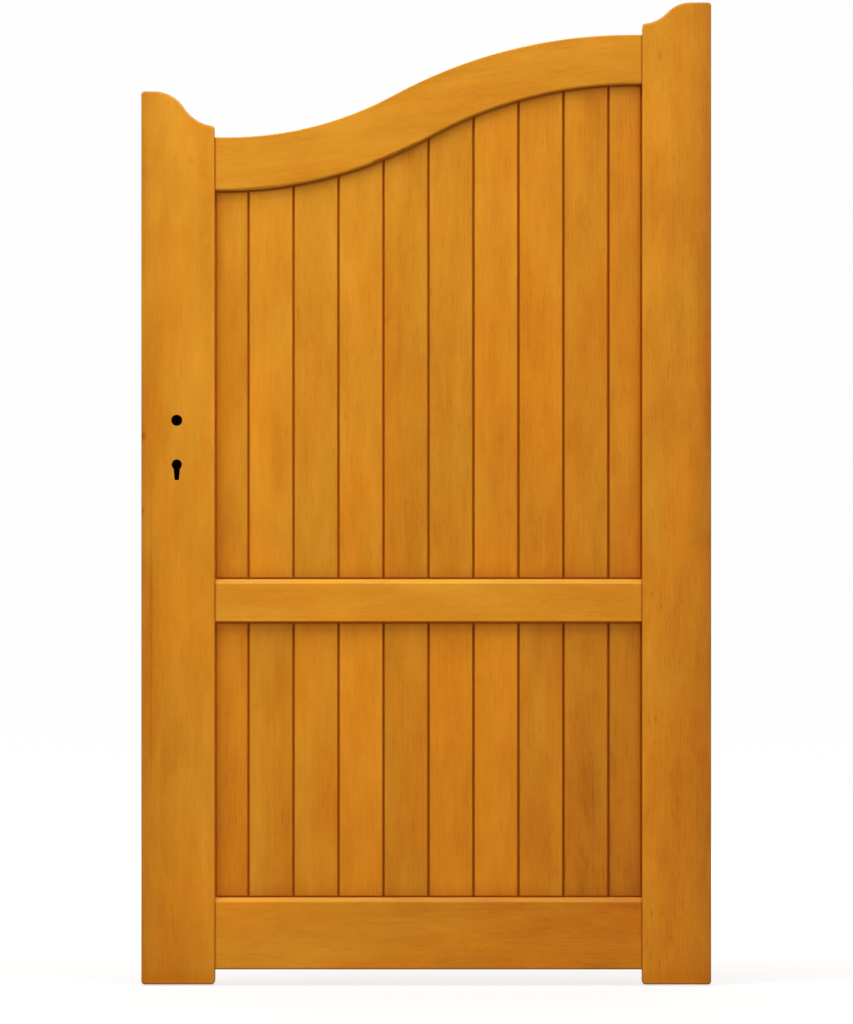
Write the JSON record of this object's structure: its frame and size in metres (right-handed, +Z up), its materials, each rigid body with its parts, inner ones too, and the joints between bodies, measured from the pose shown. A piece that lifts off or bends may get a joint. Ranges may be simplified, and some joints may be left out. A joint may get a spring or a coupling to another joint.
{
  "type": "wooden gate leaf",
  "caption": "Framed and boarded wooden garden gate leaf with a swan-neck top rail, ogee stile heads, tongue-and-groove panels and a mortise lock; hung by its hinge stile.",
  "frame": {"origin": "on the flat outer edge of the hinge stile, halfway through its thickness and level with the middle of the bottom rail, where the lower hinge is fixed", "axes": "+Z up along the stiles, +X out of the hinge edge and away from the leaf, -Y out of the front face"},
  "size_m": [0.9, 0.045, 1.551],
  "materials": {
    "stained_wood": "golden satin wood stain, fine straight grain",
    "case_steel": "black lacquered sheet steel",
    "forend_steel": "brushed zinc-plated steel"
  },
  "bodies": {
    "root": {"lock_stile": "stained_wood", "hinge_stile": "stained_wood", "top_rail": "stained_wood", "middle_rail": "stained_wood", "bottom_rail": "stained_wood", "upper_board_01": "stained_wood", "upper_board_02": "stained_wood", "upper_board_03": "stained_wood", "upper_board_04": "stained_wood", "upper_board_05": "stained_wood", "upper_board_06": "stained_wood", "upper_board_07": "stained_wood", "upper_board_08": "stained_wood", "upper_board_09": "stained_wood", "upper_board_10": "stained_wood", "lower_board_01": "stained_wood", "lower_board_02": "stained_wood", "lower_board_03": "stained_wood", "lower_board_04": "stained_wood", "lower_board_05": "stained_wood", "lower_board_06": "stained_wood", "lower_board_07": "stained_wood", "lower_board_08": "stained_wood", "lower_board_09": "stained_wood", "lower_board_10": "stained_wood", "lock_case": "case_steel", "lock_forend": "forend_steel", "latch_bolt": "forend_steel", "dead_bolt": "forend_steel"}
  },
  "joints": []
}
